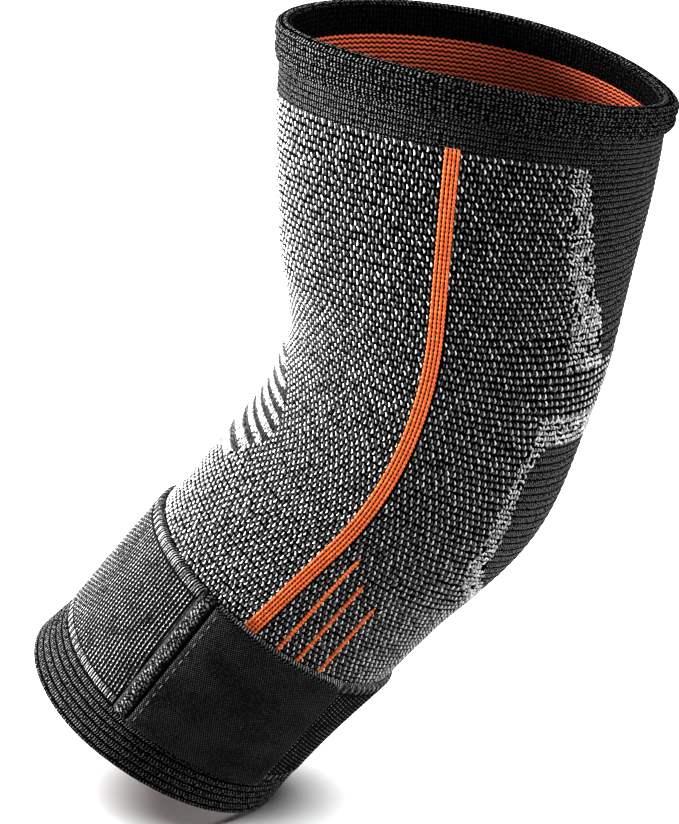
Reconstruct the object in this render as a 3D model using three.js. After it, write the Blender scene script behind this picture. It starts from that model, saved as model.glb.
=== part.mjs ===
import * as THREE from 'three';

// A knitted elbow sleeve, bent as it is worn, with a wrap-round strap at the forearm end.
// Millimetres, +Z up. The origin is the elbow's centre: the middle of the bend, on the sleeve's
// centre line. The sleeve bends in the XZ plane. +X is the point of the elbow, -X is the crook
// of the arm, and the upper arm goes in at the top. An angle round the sleeve is in degrees:
// 0 on the elbow's side, -90 on the front, 180 in the crook.

// Clearance between pieces that lie on each other
const GAP = 0.3;

// Sleeve
const FOREARM_LENGTH = 104;
const UPPER_ARM_LENGTH = 71;
const BEND_DEGREES = 38;
const BEND_RADIUS = 120;
const LEAN_DEGREES = 4;
const HALF_WIDTH = 58;
const HALF_DEPTH = 38;
const KNIT_WALL = 1.6;

// Crosswise welts in the crook, with their middle at a share of the bend
const WELT_COUNT = 8;
const WELT_PITCH = 6.7;
const WELT_HEIGHT = 0.7;
const WELT_REACH_DEGREES = 42;
const WELT_TAPER = 0.45;
const WELT_PLACE = 0.19;

// Top hem, folded over the sleeve's edge, and fuller on the elbow's side
const HEM_HEIGHT = 10.5;
const HEM_WALL = 1;
const HEM_FULLNESS = 0.9;
const HEM_CROWN = 1.4;
const HEM_INSIDE_HEIGHT = 9;

// Bottom cuff, ribbed and rolled over the sleeve's edge
const CUFF_HEIGHT = 16;
const CUFF_WALL = 1.2;
const CUFF_CROWN = 1.8;
const CUFF_INSIDE_HEIGHT = 10;
const CUFF_RIBS = 5;
const CUFF_RIB_HEIGHT = 0.5;

// Strap: an elastic band round the forearm, its folded end, and the tab that closes over it
const STRAP_WIDTH = 48;
const STRAP_THICKNESS = 2;
const STRAP_END_DEGREES = -109;
const STRAP_SKEW_DEGREES = -7;
const FOLD_WIDTH = 5.8;
const FOLD_RISE = 2.2;
const TAB_LENGTH = 48;
const TAB_THICKNESS = 1.6;
const TAB_CORNER = 4;

// How finely the surfaces are stepped
const ROUND_STEP_DEGREES = 10;
const OUTER_STEP = 10;
const INNER_STEP = 13;
const STRAP_STEPS = 5;
const CUFF_STEPS = 3;
const TAB_STEPS = 12;
const WALK_STEP_DEGREES = 0.25;
const SKEW_ROOM_DEGREES = 1;
const STEP_ROUNDING = 1e-6;

// Sections of the sleeve's outer face, from the forearm end to the upper arm end.
// along: share of the sleeve's length
// outer, inner: half width on the elbow's side and in the crook, shares of HALF_WIDTH
// depth: half depth, share of HALF_DEPTH
// point: how far the elbow's side narrows to an edge, 0 where it is round
// tilt: how far the section climbs on the elbow's side, share of HALF_WIDTH
// front: how far it climbs at the front and drops at the back, share of HALF_WIDTH
// saddle: how far it climbs at both front and back, share of HALF_WIDTH
const SECTIONS = [
  { along: 0.00, outer: 0.83, inner: 0.66, depth: 1.02, point: 0, tilt: 0.11, front: 0, saddle: 0 },
  { along: 0.06, outer: 0.80, inner: 0.65, depth: 1.02, point: 0, tilt: 0.10, front: 0.01, saddle: 0 },
  { along: 0.15, outer: 0.78, inner: 0.68, depth: 1.03, point: 0, tilt: 0.09, front: 0.03, saddle: 0 },
  { along: 0.25, outer: 0.78, inner: 0.71, depth: 1.01, point: 0, tilt: 0.07, front: 0.05, saddle: 0 },
  { along: 0.38, outer: 0.77, inner: 0.75, depth: 0.98, point: 0, tilt: 0.05, front: 0.03, saddle: 0 },
  { along: 0.50, outer: 0.82, inner: 0.78, depth: 1.00, point: 0, tilt: 0.02, front: 0.01, saddle: 0 },
  { along: 0.62, outer: 0.79, inner: 0.83, depth: 1.00, point: 0, tilt: 0, front: 0, saddle: 0 },
  { along: 0.75, outer: 0.85, inner: 0.93, depth: 1.00, point: 0, tilt: 0, front: 0, saddle: 0 },
  { along: 0.88, outer: 0.92, inner: 0.99, depth: 1.00, point: 0.1, tilt: -0.03, front: 0, saddle: 0.01 },
  { along: 1.00, outer: 0.95, inner: 1.00, depth: 0.94, point: 0.2, tilt: -0.09, front: 0, saddle: 0.03 },
];

// Outer face of the top hem: two soft beads with a groove between them.
// down: share of HEM_HEIGHT below the rim; out: share of the hem's thickness at that angle
const HEM_BEADS = [
  { down: 0.00, out: 0.30 },
  { down: 0.06, out: 1.00 },
  { down: 0.25, out: 1.35 },
  { down: 0.44, out: 1.20 },
  { down: 0.53, out: 0.95 },
  { down: 0.62, out: 1.20 },
  { down: 0.78, out: 1.15 },
  { down: 1.00, out: 0.50 },
];

// Top of the strap's folded end, across it. across: share of FOLD_WIDTH; rise: share of FOLD_RISE
const FOLD_CROWN = [
  { across: 0.00, rise: 0.40 },
  { across: 0.20, rise: 0.85 },
  { across: 0.50, rise: 1.00 },
  { across: 0.80, rise: 0.90 },
  { across: 1.00, rise: 0.60 },
];

// Rows round a corner of the tab, shares of TAB_CORNER in from its edge, and how far in the
// strap's own rows begin again
const CORNER_ROWS = [0, 0.12, 0.45, 1];
const CORNER_ROOM = 1.5;

// Places that follow from the sizes
const BEND = THREE.MathUtils.degToRad(BEND_DEGREES);
const BEND_LENGTH = BEND_RADIUS * BEND;
const LENGTH = FOREARM_LENGTH + BEND_LENGTH + UPPER_ARM_LENGTH;
const WELT_MIDDLE = FOREARM_LENGTH + WELT_PLACE * BEND_LENGTH;
const WELT_LOW = WELT_MIDDLE - WELT_COUNT * WELT_PITCH / 2;
const WELT_HIGH = WELT_MIDDLE + WELT_COUNT * WELT_PITCH / 2;
const SLEEVE_LOW = CUFF_CROWN + GAP;
const SLEEVE_HIGH = LENGTH - HEM_CROWN - GAP;
const HEM_LOW = LENGTH - HEM_HEIGHT;
const STRAP_LOW = CUFF_HEIGHT + GAP;
const STRAP_HIGH = STRAP_LOW + STRAP_WIDTH;
const BAND_IN = GAP;
const BAND_OUT = BAND_IN + STRAP_THICKNESS;
const TAB_IN = BAND_OUT + GAP;
const TAB_OUT = TAB_IN + TAB_THICKNESS;
const INSIDE = -(KNIT_WALL + GAP);

// A place on the sleeve's centre line, and its direction from +Z towards +X
function centreLine(distance) {
  const middle = THREE.MathUtils.degToRad(LEAN_DEGREES) + BEND / 2;
  const share = THREE.MathUtils.clamp((distance - FOREARM_LENGTH) / BEND_LENGTH, 0, 1);
  const direction = middle + (0.5 - share) * BEND;
  const straight = distance - FOREARM_LENGTH - share * BEND_LENGTH;
  const sideways = BEND_RADIUS * (Math.cos(direction) - Math.cos(middle));
  const upwards = BEND_RADIUS * (Math.sin(middle) - Math.sin(direction));
  return {
    x: sideways + straight * Math.sin(direction),
    z: upwards + straight * Math.cos(direction),
    direction,
  };
}

// A smooth curve through the rows of the sections table
function section(distance) {
  const last = SECTIONS.length - 1;
  const along = distance / LENGTH;
  let row = 0;
  while (row < last - 1 && SECTIONS[row + 1].along < along) {
    row += 1;
  }
  const span = SECTIONS[row + 1].along - SECTIONS[row].along;
  const t = (along - SECTIONS[row].along) / span;
  const slope = (index, column) => {
    const before = SECTIONS[Math.max(index - 1, 0)];
    const after = SECTIONS[Math.min(index + 1, last)];
    return (after[column] - before[column]) / (after.along - before.along);
  };
  const value = (column) => (2 * t ** 3 - 3 * t ** 2 + 1) * SECTIONS[row][column]
    + (t ** 3 - 2 * t ** 2 + t) * span * slope(row, column)
    + (3 * t ** 2 - 2 * t ** 3) * SECTIONS[row + 1][column]
    + (t ** 3 - t ** 2) * span * slope(row + 1, column);
  return {
    outer: value('outer'),
    inner: value('inner'),
    depth: value('depth'),
    point: value('point'),
    tilt: value('tilt'),
    front: value('front'),
    saddle: value('saddle'),
  };
}

// Height of the welts above the sleeve's outer face
function weltHeight(distance, degrees) {
  if (distance <= WELT_LOW || distance >= WELT_HIGH) {
    return 0;
  }
  const wave = Math.sin(Math.PI * (distance - WELT_LOW) / WELT_PITCH) ** 2;
  const place = (distance - WELT_MIDDLE) / (WELT_HIGH - WELT_MIDDLE);
  const reach = WELT_REACH_DEGREES * (1 - WELT_TAPER * place ** 2);
  const fromCrook = Math.abs(180 - Math.abs(THREE.MathUtils.euclideanModulo(degrees, 360)));
  const fade = Math.max(0, 1 - (fromCrook / reach) ** 2);
  return WELT_HEIGHT * wave * fade;
}

// A point at a distance along the sleeve and an angle round it, so far out of its outer face
function surfacePoint(distance, degrees, out) {
  const { outer, inner, depth, point, tilt, front, saddle } = section(distance);
  const turn = THREE.MathUtils.degToRad(degrees);
  const cosine = Math.cos(turn);
  const sine = Math.sin(turn);
  const climb = HALF_WIDTH * (tilt * cosine - front * sine + saddle * (2 * sine ** 2 - 1));
  const line = centreLine(distance + climb);
  const grown = out < 0 ? out : out + weltHeight(distance, degrees);
  const across = (HALF_WIDTH * (cosine < 0 ? inner : outer) + grown) * cosine;
  const narrowing = 1 + (cosine < 0 ? 0 : point);
  const forward = (HALF_DEPTH * depth + grown) * Math.sign(sine) * Math.abs(sine) ** narrowing;
  return new THREE.Vector3(
    line.x + across * Math.cos(line.direction),
    forward,
    line.z - across * Math.sin(line.direction),
  );
}

// Equal steps from one value to another, both included, none longer than the longest
function steps(from, to, longest) {
  const count = Math.max(1, Math.ceil(Math.abs(to - from) / longest - STEP_ROUNDING));
  return Array.from({ length: count + 1 }, (_, index) => from + (to - from) * index / count);
}

// The sleeve's rows under the cuff, under the strap and from there up to the hem
function endRows() {
  return {
    cuff: steps(SLEEVE_LOW, STRAP_LOW, (STRAP_LOW - SLEEVE_LOW) / CUFF_STEPS),
    strap: steps(STRAP_LOW, STRAP_HIGH, STRAP_WIDTH / STRAP_STEPS),
    hem: [HEM_LOW, SLEEVE_HIGH],
  };
}

// A closed body from its points and the loops of points round its faces, with its faces outwards
function solid(points, faces) {
  const index = faces.flatMap((face) => (
    face.slice(2).flatMap((_, corner) => [face[0], face[corner + 1], face[corner + 2]])
  ));
  let volume = 0;
  for (let start = 0; start < index.length; start += 3) {
    const [a, b, c] = index.slice(start, start + 3).map((place) => points[place]);
    volume += a.dot(new THREE.Vector3().crossVectors(b, c));
  }
  const geometry = new THREE.BufferGeometry();
  geometry.setFromPoints(points);
  geometry.setIndex(volume < 0 ? index.reverse() : index);
  geometry.computeVertexNormals();
  return geometry;
}

// A closed outline of { distance, out } rows, swept all the way round the sleeve.
// The out value may be a function of the angle.
function ring(outline) {
  const columns = Math.round(360 / ROUND_STEP_DEGREES);
  const points = [];
  const faces = [];
  for (let column = 0; column < columns; column += 1) {
    const degrees = column * 360 / columns;
    outline.forEach(({ distance, out }, row) => {
      const offset = typeof out === 'function' ? out(degrees) : out;
      points.push(surfacePoint(distance, degrees, offset));
      const here = column * outline.length;
      const next = ((column + 1) % columns) * outline.length;
      const above = (row + 1) % outline.length;
      faces.push([here + row, next + row, next + above, here + above]);
    });
  }
  return solid(points, faces);
}

// A sheet lying on the sleeve: rows of { distance, degrees, low, high } cells, where low and
// high are its faces' heights above the sleeve
function sheet(rows) {
  const across = rows[0].length;
  const count = rows.length * across;
  const at = (row, column, side) => side * count + row * across + column;
  const low = rows.flat().map((cell) => surfacePoint(cell.distance, cell.degrees, cell.low));
  const high = rows.flat().map((cell) => surfacePoint(cell.distance, cell.degrees, cell.high));
  const faces = [];
  for (let row = 0; row + 1 < rows.length; row += 1) {
    for (let column = 0; column + 1 < across; column += 1) {
      faces.push([at(row, column, 1), at(row, column + 1, 1),
        at(row + 1, column + 1, 1), at(row + 1, column, 1)]);
      faces.push([at(row, column, 0), at(row + 1, column, 0),
        at(row + 1, column + 1, 0), at(row, column + 1, 0)]);
    }
    const end = across - 1;
    faces.push([at(row, 0, 0), at(row, 0, 1), at(row + 1, 0, 1), at(row + 1, 0, 0)]);
    faces.push([at(row, end, 0), at(row + 1, end, 0), at(row + 1, end, 1), at(row, end, 1)]);
  }
  const top = rows.length - 1;
  for (let column = 0; column + 1 < across; column += 1) {
    faces.push([at(0, column, 0), at(0, column + 1, 0), at(0, column + 1, 1), at(0, column, 1)]);
    faces.push([at(top, column, 0), at(top, column, 1),
      at(top, column + 1, 1), at(top, column + 1, 0)]);
  }
  return solid([...low, ...high], faces);
}

// The angle that lies so many millimetres further round the strap's middle
function angleAfter(degrees, millimetres) {
  const middle = (STRAP_LOW + STRAP_HIGH) / 2;
  const step = Math.sign(millimetres) * WALK_STEP_DEGREES;
  let angle = degrees;
  let walked = 0;
  while (walked < Math.abs(millimetres)) {
    const from = surfacePoint(middle, angle, BAND_OUT);
    walked += from.distanceTo(surfacePoint(middle, angle + step, BAND_OUT));
    angle += step;
  }
  return angle;
}

// The strap's ends lean: how far its edges turn at a distance along the sleeve
function strapSkew(distance) {
  return STRAP_SKEW_DEGREES * ((distance - STRAP_LOW) / STRAP_WIDTH - 0.5);
}

function sleeveBody() {
  const { cuff, strap, hem } = endRows();
  const lower = [...cuff.slice(0, -1), ...strap];
  const outside = [
    ...lower,
    ...steps(STRAP_HIGH, WELT_LOW, OUTER_STEP).slice(1),
    ...steps(WELT_LOW, WELT_HIGH, WELT_PITCH / 2).slice(1),
    ...steps(WELT_HIGH, HEM_LOW, OUTER_STEP).slice(1, -1),
    ...hem,
  ];
  const inside = [...lower, ...steps(STRAP_HIGH, HEM_LOW, INNER_STEP).slice(1, -1), ...hem];
  return ring([
    ...outside.map((distance) => ({ distance, out: 0 })),
    ...inside.reverse().map((distance) => ({ distance, out: -KNIT_WALL })),
  ]);
}

function topHem() {
  const thickness = (degrees) => {
    const towardsElbow = (1 + Math.cos(THREE.MathUtils.degToRad(degrees))) / 2;
    return HEM_WALL + HEM_FULLNESS * towardsElbow;
  };
  const beads = HEM_BEADS.map(({ down, out }) => ({
    distance: LENGTH - down * HEM_HEIGHT,
    out: (degrees) => GAP + out * thickness(degrees),
  }));
  const roof = LENGTH - HEM_CROWN;
  const insideLow = LENGTH - HEM_INSIDE_HEIGHT;
  return ring([
    ...beads,
    { distance: HEM_LOW, out: GAP },
    { distance: roof, out: GAP },
    { distance: roof, out: INSIDE },
    { distance: insideLow, out: INSIDE },
    { distance: insideLow, out: INSIDE - HEM_WALL },
    { distance: LENGTH - HEM_CROWN / 2, out: INSIDE - HEM_WALL },
    { distance: LENGTH, out: INSIDE - HEM_WALL / 2 },
  ]);
}

function bottomCuff() {
  const { cuff } = endRows();
  const ribs = steps(CUFF_CROWN, CUFF_HEIGHT, (CUFF_HEIGHT - CUFF_CROWN) / (2 * CUFF_RIBS));
  return ring([
    { distance: CUFF_HEIGHT, out: GAP },
    ...cuff.slice(1, -1).reverse().map((distance) => ({ distance, out: GAP })),
    { distance: CUFF_CROWN, out: GAP },
    { distance: CUFF_CROWN, out: INSIDE },
    { distance: CUFF_INSIDE_HEIGHT, out: INSIDE },
    { distance: CUFF_INSIDE_HEIGHT, out: INSIDE - CUFF_WALL },
    { distance: CUFF_CROWN / 2, out: INSIDE - CUFF_WALL },
    { distance: 0, out: INSIDE - CUFF_WALL / 2 },
    { distance: 0, out: GAP + CUFF_WALL / 2 },
    { distance: CUFF_CROWN / 3, out: GAP + CUFF_WALL },
    ...ribs.map((distance, index) => ({
      distance,
      out: GAP + CUFF_WALL + (index % 2) * CUFF_RIB_HEIGHT,
    })),
  ]);
}

// The angles at the strap's middle where its folded end and the tab begin and stop
const FOLD_START = STRAP_END_DEGREES;
const FOLD_STOP = angleAfter(FOLD_START, FOLD_WIDTH);
const TAB_START = angleAfter(FOLD_STOP, GAP);
const TAB_STOP = angleAfter(TAB_START, TAB_LENGTH);
const BAND_STOP = angleAfter(FOLD_START, -GAP) + 360;

function strapBand() {
  const clear = Math.abs(STRAP_SKEW_DEGREES) / 2 + SKEW_ROOM_DEGREES;
  const firstRound = Math.ceil((TAB_START + clear) / ROUND_STEP_DEGREES) * ROUND_STEP_DEGREES;
  const lastRound = Math.floor((BAND_STOP - clear) / ROUND_STEP_DEGREES) * ROUND_STEP_DEGREES;
  const round = steps(firstRound, lastRound, ROUND_STEP_DEGREES);
  return sheet(endRows().strap.map((distance) => {
    const skew = strapSkew(distance);
    const angles = [TAB_START + skew, ...round, BAND_STOP + skew];
    return angles.map((degrees) => ({ distance, degrees, low: BAND_IN, high: BAND_OUT }));
  }));
}

function strapFold() {
  return sheet(endRows().strap.map((distance) => (
    FOLD_CROWN.map(({ across, rise }) => ({
      distance,
      degrees: FOLD_START + across * (FOLD_STOP - FOLD_START) + strapSkew(distance),
      low: BAND_IN,
      high: BAND_OUT + rise * FOLD_RISE,
    }))
  )));
}

// The tab's rows close up towards its rounded corners
function tabRows() {
  const rounding = CORNER_ROWS.map((share) => share * TAB_CORNER);
  const room = CORNER_ROOM * TAB_CORNER;
  const middle = endRows().strap.filter((distance) => (
    distance > STRAP_LOW + room && distance < STRAP_HIGH - room
  ));
  return [
    ...rounding.map((inset) => STRAP_LOW + inset),
    ...middle,
    ...rounding.reverse().map((inset) => STRAP_HIGH - inset),
  ];
}

function strapTab() {
  const degreesPerMillimetre = (TAB_STOP - TAB_START) / TAB_LENGTH;
  return sheet(tabRows().map((distance) => {
    const inset = Math.min(distance - STRAP_LOW, STRAP_HIGH - distance, TAB_CORNER);
    const cut = TAB_CORNER - Math.sqrt(TAB_CORNER ** 2 - (TAB_CORNER - inset) ** 2);
    const stop = TAB_STOP - cut * degreesPerMillimetre;
    return steps(0, 1, 1 / TAB_STEPS).map((share) => ({
      distance,
      degrees: TAB_START + share * (stop - TAB_START) + strapSkew(distance),
      low: TAB_IN,
      high: TAB_OUT,
    }));
  }));
}

function cloth(color, roughness) {
  return new THREE.MeshStandardMaterial({ color, roughness, metalness: 0 });
}

function piece(name, geometry, material) {
  const mesh = new THREE.Mesh(geometry, material);
  mesh.name = name;
  return mesh;
}

const elbowBrace = new THREE.Group();
elbowBrace.name = 'elbow_brace';
elbowBrace.add(
  piece('sleeve_body', sleeveBody(), cloth('#3a3b3e', 0.95)),
  piece('top_hem', topHem(), cloth('#17181a', 0.95)),
  piece('bottom_cuff', bottomCuff(), cloth('#1b1c1e', 0.95)),
  piece('strap_band', strapBand(), cloth('#2a2b2d', 0.95)),
  piece('strap_fold', strapFold(), cloth('#202123', 0.95)),
  piece('strap_tab', strapTab(), cloth('#121214', 0.85)),
);

export default elbowBrace;
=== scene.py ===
import math

import bpy
import numpy as np
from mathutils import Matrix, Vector


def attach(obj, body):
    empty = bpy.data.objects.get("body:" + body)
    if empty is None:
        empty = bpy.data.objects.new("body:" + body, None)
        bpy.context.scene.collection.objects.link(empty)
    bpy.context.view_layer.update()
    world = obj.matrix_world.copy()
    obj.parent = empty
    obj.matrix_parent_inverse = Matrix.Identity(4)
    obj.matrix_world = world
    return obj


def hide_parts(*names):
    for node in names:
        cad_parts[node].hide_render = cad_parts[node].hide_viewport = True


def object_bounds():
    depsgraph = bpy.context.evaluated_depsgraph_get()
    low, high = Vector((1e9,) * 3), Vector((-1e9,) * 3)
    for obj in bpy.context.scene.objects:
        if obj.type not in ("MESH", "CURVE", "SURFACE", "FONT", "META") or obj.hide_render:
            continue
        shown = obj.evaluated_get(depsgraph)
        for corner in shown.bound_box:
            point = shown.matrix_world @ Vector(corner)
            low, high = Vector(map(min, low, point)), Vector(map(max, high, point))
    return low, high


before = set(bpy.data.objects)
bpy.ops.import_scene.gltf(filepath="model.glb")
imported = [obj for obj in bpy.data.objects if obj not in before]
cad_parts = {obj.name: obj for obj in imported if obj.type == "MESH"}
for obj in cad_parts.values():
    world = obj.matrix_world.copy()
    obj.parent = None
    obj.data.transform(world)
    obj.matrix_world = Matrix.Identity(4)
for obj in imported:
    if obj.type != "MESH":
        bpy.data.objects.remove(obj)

# The looks of a knitted elbow sleeve with a wrap-round strap at its forearm end.
# Metres, +Z up, in the frame of the solids. The sleeve bends in the XZ plane: +X is the point of
# the elbow, -X the crook of the arm. An angle round the sleeve is in degrees: 0 on the elbow's
# side, -90 on the front, 180 in the crook. A distance is measured along the sleeve from its
# forearm end.
cad_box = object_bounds()
draws = np.random.default_rng(7)
MM = 0.001

# Sizes of the solids, repeated
GAP = 0.3 * MM
FOREARM_LENGTH = 104 * MM
UPPER_ARM_LENGTH = 71 * MM
BEND_RADIUS = 120 * MM
BEND = math.radians(38)
LEAN = math.radians(4)
HALF_WIDTH = 58 * MM
HALF_DEPTH = 38 * MM
KNIT_WALL = 1.6 * MM
WELT_COUNT = 8
WELT_PITCH = 6.7 * MM
WELT_HEIGHT = 0.7 * MM
WELT_REACH_DEGREES = 42
WELT_TAPER = 0.45
WELT_PLACE = 0.19
HEM_HEIGHT = 10.5 * MM
HEM_WALL = 1 * MM
HEM_FULLNESS = 0.9 * MM
HEM_CROWN = 1.4 * MM
HEM_INSIDE_HEIGHT = 9 * MM
CUFF_HEIGHT = 16 * MM
CUFF_WALL = 1.2 * MM
CUFF_CROWN = 1.8 * MM
CUFF_INSIDE_HEIGHT = 10 * MM
CUFF_RIBS = 5
CUFF_RIB_HEIGHT = 0.5 * MM
STRAP_WIDTH = 48 * MM
STRAP_THICKNESS = 2 * MM
STRAP_END_DEGREES = -109
STRAP_SKEW_DEGREES = -7
FOLD_WIDTH = 5.8 * MM
FOLD_RISE = 2.2 * MM
TAB_LENGTH = 48 * MM
TAB_THICKNESS = 1.6 * MM
TAB_CORNER = 4 * MM

# Sections of the sleeve, as in the solids: along and shares of HALF_WIDTH and HALF_DEPTH
SECTION_COLUMNS = ("along", "outer", "inner", "depth", "point", "tilt", "front", "saddle")
SECTIONS = np.array([
    (0.00, 0.83, 0.66, 1.02, 0, 0.11, 0, 0),
    (0.06, 0.80, 0.65, 1.02, 0, 0.10, 0.01, 0),
    (0.15, 0.78, 0.68, 1.03, 0, 0.09, 0.03, 0),
    (0.25, 0.78, 0.71, 1.01, 0, 0.07, 0.05, 0),
    (0.38, 0.77, 0.75, 0.98, 0, 0.05, 0.03, 0),
    (0.50, 0.82, 0.78, 1.00, 0, 0.02, 0.01, 0),
    (0.62, 0.79, 0.83, 1.00, 0, 0, 0, 0),
    (0.75, 0.85, 0.93, 1.00, 0, 0, 0, 0),
    (0.88, 0.92, 0.99, 1.00, 0.1, -0.03, 0, 0.01),
    (1.00, 0.95, 1.00, 0.94, 0.2, -0.09, 0, 0.03),
])

# Places that follow from the sizes
BEND_LENGTH = BEND_RADIUS * BEND
LENGTH = FOREARM_LENGTH + BEND_LENGTH + UPPER_ARM_LENGTH
WELT_MIDDLE = FOREARM_LENGTH + WELT_PLACE * BEND_LENGTH
WELT_LOW = WELT_MIDDLE - WELT_COUNT * WELT_PITCH / 2
WELT_HIGH = WELT_MIDDLE + WELT_COUNT * WELT_PITCH / 2
SLEEVE_LOW = CUFF_CROWN + GAP
SLEEVE_HIGH = LENGTH - HEM_CROWN - GAP
HEM_LOW = LENGTH - HEM_HEIGHT
STRAP_LOW = CUFF_HEIGHT + GAP
STRAP_HIGH = STRAP_LOW + STRAP_WIDTH
BAND_IN = GAP
BAND_OUT = BAND_IN + STRAP_THICKNESS
TAB_IN = BAND_OUT + GAP
TAB_OUT = TAB_IN + TAB_THICKNESS
INSIDE = -(KNIT_WALL + GAP)

# The knit: wales run along the sleeve, courses round it. Ribs are ridges along the courses.
WALES = 132
WALE_OVAL = 1.28
COURSE_PITCH = 1.9 * MM
RIB_PITCH = 2.05 * MM
RIB_HEIGHT = 0.35 * MM
HEADER_RIB_PITCH = 1.65 * MM
HEADER_HEIGHT = 6 * HEADER_RIB_PITCH
HEM_RIB_PITCH = 1.5 * MM
HEM_RIB_HEIGHT = 0.16 * MM
HEM_INSIDE_RIB_HEIGHT = 0.1 * MM
HEADER_LOW = HEM_LOW - HEADER_HEIGHT
CROOK_COURSE_PITCH = 0.95 * MM
BAND_COURSE_PITCH = 1.45 * MM
ROWS_UNDER_STRAP = 5 * MM
ROWS_INSIDE = 1.6 * MM

# Two dark ribbed panels on the elbow's side, each framed by a light band. Each row is a distance
# in mm, then degrees from the elbow's line to the panel's edge and to the band's far edge.
UPPER_PANEL = np.array([
    (174, 15, 37),
    (178, 20, 38),
    (185, 23, 40),
    (196, 32, 44),
    (214, 39, 48),
    (238, 46, 53),
])
LOWER_PANEL = np.array([
    (104, 0, 14),
    (112, 20, 34),
    (119, 32, 41),
    (128, 35, 43),
    (140, 38, 45),
    (148, 39, 45),
    (155.5, 34, 41),
])
CROSS_BAND = (155.5 * MM, 161.6 * MM)
CROSS_BAND_DEGREES = 41
OUTSIDE_PANELS = -90.0
PANEL_MARGIN_DEGREES = 0.3

# Orange wales: a band of cords side by side, and three single ones, in degrees and distances
ORANGE_BAND = {"low_degrees": -88.5, "high_degrees": -88.5, "low": 60 * MM, "high": 236 * MM}
ORANGE_BAND_CORDS = 4
ORANGE_LINES = (
    {"low_degrees": -75, "high_degrees": -79, "low": 60 * MM, "high": 107 * MM},
    {"low_degrees": -66, "high_degrees": -70, "low": 60 * MM, "high": 100 * MM},
    {"low_degrees": -55, "high_degrees": -59, "low": 60 * MM, "high": 95 * MM},
)
ORANGE_CORD_PITCH = 1.15 * MM
ORANGE_CORD_RADIUS = 0.47 * MM
ORANGE_STITCH = 1.35 * MM
ORANGE_CORD = {"sides": 6, "bead": 0.28, "flatness": 0.75, "lift": 0.12 * MM}
LINE_THICKER = 1.4
LINE_TAPER = 2 * MM
LINE_TIP = 0.45
ORANGE_ROOM = 0.1 * MM

# The orange lining, the strap's webbing and the tab's cloth
LINING_PITCH = 1.35 * MM
STRAP_RIB_PITCH = 1.4 * MM
STRAP_RIB_HEIGHT = 0.3 * MM
STRAP_DOT_PITCH = 1.4 * MM
STRAP_COLUMNS = 960
SELVEDGE = 3.4 * MM
# Distance round from the tab's start where the light lines begin. They are left out on the stretch
# beside the tab as painted shade, on the side turned from the key light
LINES_PAST_PAINTED_SHADE = (90 * MM, 100 * MM)
TWILL_PITCH = 0.72 * MM
TAB_PUFF = 0.12 * MM
EDGE_RADIUS = {"band": 1.2 * MM, "fold": 1.4 * MM, "fold_side": 0.9 * MM, "tab": 0.8 * MM}
THINNEST_EDGE = 0.1 * MM
THINNEST_TAB_EDGE = 0.08 * MM

# The tab's dashed seam
SEAM = {"from_tab_start": 1.9 * MM, "from_low_edge": 2 * MM, "from_high_edge": 1.5 * MM,
        "pitch": 3.5 * MM, "length": 2.2 * MM, "radius": 0.13 * MM,
        "rise": 0.3 * MM, "sink": 0.22 * MM, "sides": 6, "rows": 9}

# A stitch that stands out of the ground knit: a bent grain, convex towards the elbow
GRAIN = {"half_width": 0.36 * MM, "half_length": 0.88 * MM, "height": 0.5 * MM,
         "bend": 0.5 * MM, "tip": -0.3, "sink": 0.25 * MM}
GRAIN_SIDES = 6
GRAIN_RINGS = ((1.0, 0.0), (0.78, 0.62))
GRAIN_TURN = -8
GRAIN_SPREAD = {"size": 0.09, "across": 0.09 * MM, "along": 0.15 * MM}
GRAIN_LONGEST = 1.1

# Size of each kind of stitch, as a share of the grain's, and how far they turn, in degrees
WHITE_STITCH = {"size": 1.0, "turn_spread": 9.0}
BLACK_STITCH = {"size": 1.02, "turn_spread": 9.0}
BAND_STITCH = {"size": 0.98, "turn_spread": 24.0}
CROOK_STITCH = {"size": 0.72, "turn_spread": 12.0}
BAND_FULLNESS = 0.93
CROOK_EDGE = 0.1
CROOK_RAGGED = 0.06
UNDER_STRAP = 1.5 * MM
UNDER_HEADER = 0.5 * MM


def smooth(at, known, values, slope=None):
    """Values on a smooth curve through known places, with given slopes or those of the values."""
    slope = np.gradient(values, known) if slope is None else slope
    row = np.clip(np.searchsorted(known, at) - 1, 0, len(known) - 2)
    span = known[row + 1] - known[row]
    t = (at - known[row]) / span
    return (
        (2 * t**3 - 3 * t**2 + 1) * values[row]
        + (t**3 - 2 * t**2 + t) * span * slope[row]
        + (3 * t**2 - 2 * t**3) * values[row + 1]
        + (t**3 - t**2) * span * slope[row + 1]
    )


def turns_of(sides):
    """Angles, in radians, of the points of a small ring."""
    return np.arange(sides) * 2 * np.pi / sides


def ripple(phase):
    """0 to 1 and back, once for each whole step of phase."""
    return 0.5 - 0.5 * np.cos(2 * np.pi * phase)


def pairs(first, second):
    """Every item of first with every item of second, as two flat arrays."""
    one, other = np.meshgrid(first, second, indexing="ij")
    return one.ravel(), other.ravel()


def centre_line(distance):
    """x, z and direction, from +Z towards +X, of the sleeve's centre line."""
    middle = LEAN + BEND / 2
    share = np.clip((distance - FOREARM_LENGTH) / BEND_LENGTH, 0, 1)
    direction = middle + (0.5 - share) * BEND
    straight = distance - FOREARM_LENGTH - share * BEND_LENGTH
    x = BEND_RADIUS * (np.cos(direction) - math.cos(middle)) + straight * np.sin(direction)
    z = BEND_RADIUS * (math.sin(middle) - np.sin(direction)) + straight * np.cos(direction)
    return x, z, direction


def section(distance):
    """The smooth values of SECTIONS at distances, by column name."""
    table = SECTIONS[:, 0]
    rows = np.arange(len(table))
    before, after = np.maximum(rows - 1, 0), np.minimum(rows + 1, rows[-1])
    found = {}
    for name, value in zip(SECTION_COLUMNS[1:], SECTIONS[:, 1:].T):
        slope = (value[after] - value[before]) / (table[after] - table[before])
        found[name] = smooth(distance / LENGTH, table, value, slope)
    return found


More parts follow.
